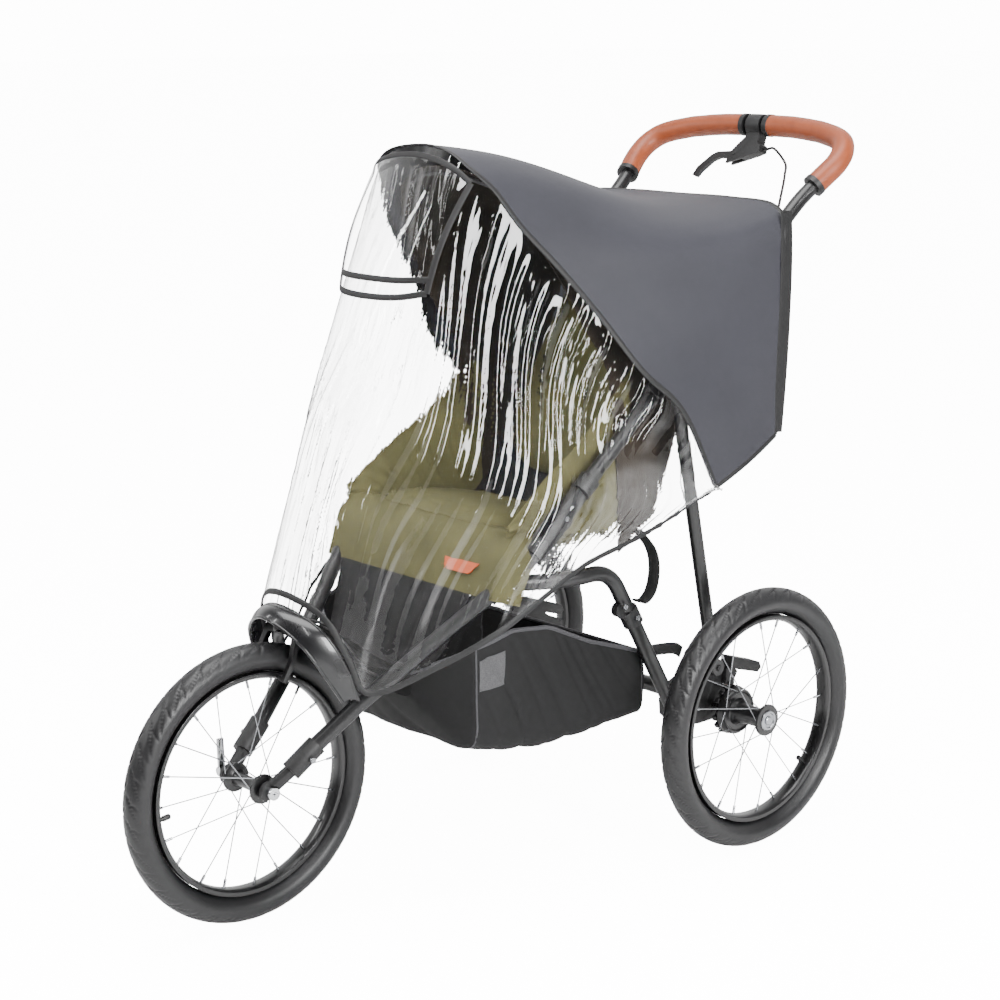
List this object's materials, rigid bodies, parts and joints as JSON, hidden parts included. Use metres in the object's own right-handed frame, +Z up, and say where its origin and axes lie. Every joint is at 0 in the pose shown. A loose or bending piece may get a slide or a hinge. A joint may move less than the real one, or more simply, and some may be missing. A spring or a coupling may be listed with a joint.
{
  "type": "three-wheel jogging stroller",
  "caption": "Folding three-wheel jogging stroller with spoked air-tyre wheels, a reclining seat, a hood, an under-seat basket and a fitted rain cover with a clear front.",
  "frame": {"origin": "centre of the footprint box on the ground under the tyres", "axes": "+Y from the front wheel towards the push bar, so the stroller faces -Y; +X its own left side; +Z up"},
  "size_m": [0.642, 1.26, 1.0794],
  "materials": {
    "satin_black": "satin black paint on round tube",
    "moulded_black": "black moulded plastic, lightly grained",
    "cable_black": "smooth black cable housing",
    "tyre_rubber": "dull dark grey rubber",
    "bright_steel": "bright plated steel",
    "tan_leather": "stitched tan leather",
    "olive_fabric": "olive woven fabric",
    "black_fabric": "black woven fabric",
    "brown_lining": "dark brown lining",
    "charcoal_fabric": "charcoal coated fabric",
    "clear_vinyl": "soft clear vinyl with creases"
  },
  "bodies": {
    "chassis": {"fork_tube_left": "satin_black", "fork_tube_right": "satin_black", "fork_end_left": "moulded_black", "fork_end_right": "moulded_black", "hinge_lower_left": "moulded_black", "hinge_lower_right": "moulded_black", "seat_tube_left": "satin_black", "seat_tube_right": "satin_black", "leg_clamp_left": "moulded_black", "leg_clamp_right": "moulded_black", "axle_bracket_left": "moulded_black", "axle_bracket_right": "moulded_black", "axle_skewer": "bright_steel", "fork_bridge": "satin_black", "brake_cable_lower": "cable_black", "rear_axle": "satin_black", "toe_bumper": "moulded_black", "footwell": "black_fabric", "seat_cushion": "olive_fabric", "basket": "black_fabric", "rain_cover_window": "clear_vinyl"},
    "handle_frame": {"handle_tube": "satin_black", "hinge_upper_left": "moulded_black", "hinge_upper_right": "moulded_black", "grip_left": "tan_leather", "grip_right": "tan_leather", "brake_clamp": "moulded_black", "brake_cable_upper": "cable_black", "hood_fabric": "brown_lining", "rain_cover_cloth": "charcoal_fabric"},
    "struts": {"strut_left": "satin_black", "strut_right": "satin_black"},
    "strut_collars": {"strut_collar_left": "moulded_black", "strut_collar_right": "moulded_black"},
    "seat_hinge": {"seat_hinge_rod": "bright_steel"},
    "seat_back": {"seat_back": "olive_fabric"},
    "hood_hubs": {"hood_hub_left": "moulded_black", "hood_hub_right": "moulded_black"},
    "hood_bow": {"hood_bow": "moulded_black"},
    "front_wheel": {"tyre_front": "tyre_rubber", "rim_front": "satin_black", "hub_spokes_front": "bright_steel"},
    "rear_wheel_left": {"tyre_left": "tyre_rubber", "rim_left": "satin_black", "hub_spokes_left": "bright_steel", "brake_ring_left": "moulded_black"},
    "rear_wheel_right": {"tyre_right": "tyre_rubber", "rim_right": "satin_black", "hub_spokes_right": "bright_steel", "brake_ring_right": "moulded_black"},
    "brake_lever": {"brake_lever": "moulded_black"},
    "caliper_left": {"caliper_arm_left": "satin_black"},
    "caliper_right": {"caliper_arm_right": "satin_black"},
    "quick_release": {"quick_release_lever": "bright_steel"},
    "pedal_left": {"brake_pedal_left": "moulded_black"},
    "pedal_right": {"brake_pedal_right": "moulded_black"},
    "pin_left": {"brake_pin_left": "bright_steel"},
    "pin_right": {"brake_pin_right": "bright_steel"},
    "window_flap": {"window_flap": "clear_vinyl"}
  },
  "joints": [
    {"name": "fold", "type": "hinge", "parent": "chassis", "child": "handle_frame", "pos_m": [0, -0.01382, 0.54406], "axis": [1, 0, 0], "range_deg": [0, 140], "deforming": ["rain_cover_cloth", "rain_cover_window", "window_flap", "hood_fabric"]},
    {"name": "strut_turn", "type": "hinge", "parent": "chassis", "child": "struts", "pos_m": [0, 0.27598, 0.268], "axis": [1, 0, 0], "range_deg": [0, 43.5]},
    {"name": "collar_slide", "type": "slide", "parent": "handle_frame", "child": "strut_collars", "axis": [0, -0.7707, -0.6372], "range_m": [0, 0.1592]},
    {"name": "seat_fold", "type": "hinge", "parent": "chassis", "child": "seat_hinge", "pos_m": [0, 0.13498, 0.502], "axis": [1, 0, 0], "range_deg": [0, 110]},
    {"name": "seat_recline", "type": "hinge", "parent": "seat_hinge", "child": "seat_back", "pos_m": [0, 0.13498, 0.502], "axis": [-1, 0, 0], "range_deg": [0, 20]},
    {"name": "hood_fold", "type": "hinge", "parent": "handle_frame", "child": "hood_hubs", "pos_m": [0, 0.25998, 0.77], "axis": [-1, 0, 0], "range_deg": [0, 81]},
    {"name": "hood_turn", "type": "hinge", "parent": "hood_hubs", "child": "hood_bow", "pos_m": [0, 0.25998, 0.77], "axis": [-1, 0, 0], "range_deg": [0, 80], "deforming": ["hood_fabric", "rain_cover_cloth", "rain_cover_window", "window_flap"]},
    {"name": "front_wheel_spin", "type": "hinge", "parent": "chassis", "child": "front_wheel", "pos_m": [0, -0.43002, 0.2], "axis": [1, 0, 0], "continuous": true},
    {"name": "rear_wheel_left_spin", "type": "hinge", "parent": "chassis", "child": "rear_wheel_left", "pos_m": [0, 0.29598, 0.2], "axis": [1, 0, 0], "continuous": true},
    {"name": "rear_wheel_right_spin", "type": "hinge", "parent": "chassis", "child": "rear_wheel_right", "pos_m": [0, 0.29598, 0.2], "axis": [1, 0, 0], "continuous": true},
    {"name": "brake_lever_pull", "type": "hinge", "parent": "handle_frame", "child": "brake_lever", "pos_m": [-0.034, 0.59857, 1.01327], "axis": [0, 0.9632, -0.2689], "range_deg": [0, 16], "stiffness_Nm_per_rad": 1},
    {"name": "caliper_left_close", "type": "hinge", "parent": "chassis", "child": "caliper_left", "pos_m": [0, -0.34583, 0.40325], "axis": [0, -0.9239, 0.3827], "range_deg": [-1.5, 1.5]},
    {"name": "caliper_right_close", "type": "hinge", "parent": "chassis", "child": "caliper_right", "pos_m": [0, -0.34583, 0.40325], "axis": [0, -0.9239, 0.3827], "range_deg": [-1.5, 1.5]},
    {"name": "quick_release_turn", "type": "hinge", "parent": "chassis", "child": "quick_release", "pos_m": [-0.066, -0.43002, 0.2], "axis": [0, -1, 0], "range_deg": [0, 165]},
    {"name": "pedal_left_press", "type": "hinge", "parent": "chassis", "child": "pedal_left", "pos_m": [0, 0.31998, 0.23], "axis": [-1, 0, 0], "range_deg": [0, 15]},
    {"name": "pedal_right_press", "type": "hinge", "parent": "chassis", "child": "pedal_right", "pos_m": [0, 0.31998, 0.23], "axis": [-1, 0, 0], "range_deg": [0, 15]},
    {"name": "pin_left_slide", "type": "slide", "parent": "chassis", "child": "pin_left", "axis": [1, 0, 0], "range_m": [0, 0.0062]},
    {"name": "pin_right_slide", "type": "slide", "parent": "chassis", "child": "pin_right", "axis": [-1, 0, 0], "range_m": [0, 0.0062]},
    {"name": "window_flap_lift", "type": "hinge", "parent": "chassis", "child": "window_flap", "pos_m": [0, -0.12502, 1.052], "axis": [-1, 0, 0], "range_deg": [0, 90]}
  ],
  "couplings": [
    {"joint": "strut_turn", "follows": "fold", "ratio": 0.30964},
    {"joint": "collar_slide", "follows": "fold", "m_per_rad": 0.065072},
    {"joint": "seat_fold", "follows": "fold", "ratio": 0.77857},
    {"joint": "hood_fold", "follows": "fold", "ratio": 0.57143},
    {"joint": "caliper_left_close", "follows": "brake_lever_pull", "ratio": -0.09},
    {"joint": "caliper_right_close", "follows": "brake_lever_pull", "ratio": 0.09},
    {"joint": "pin_left_slide", "follows": "pedal_left_press", "m_per_rad": 0.022918},
    {"joint": "pin_right_slide", "follows": "pedal_right_press", "m_per_rad": 0.022918}
  ]
}
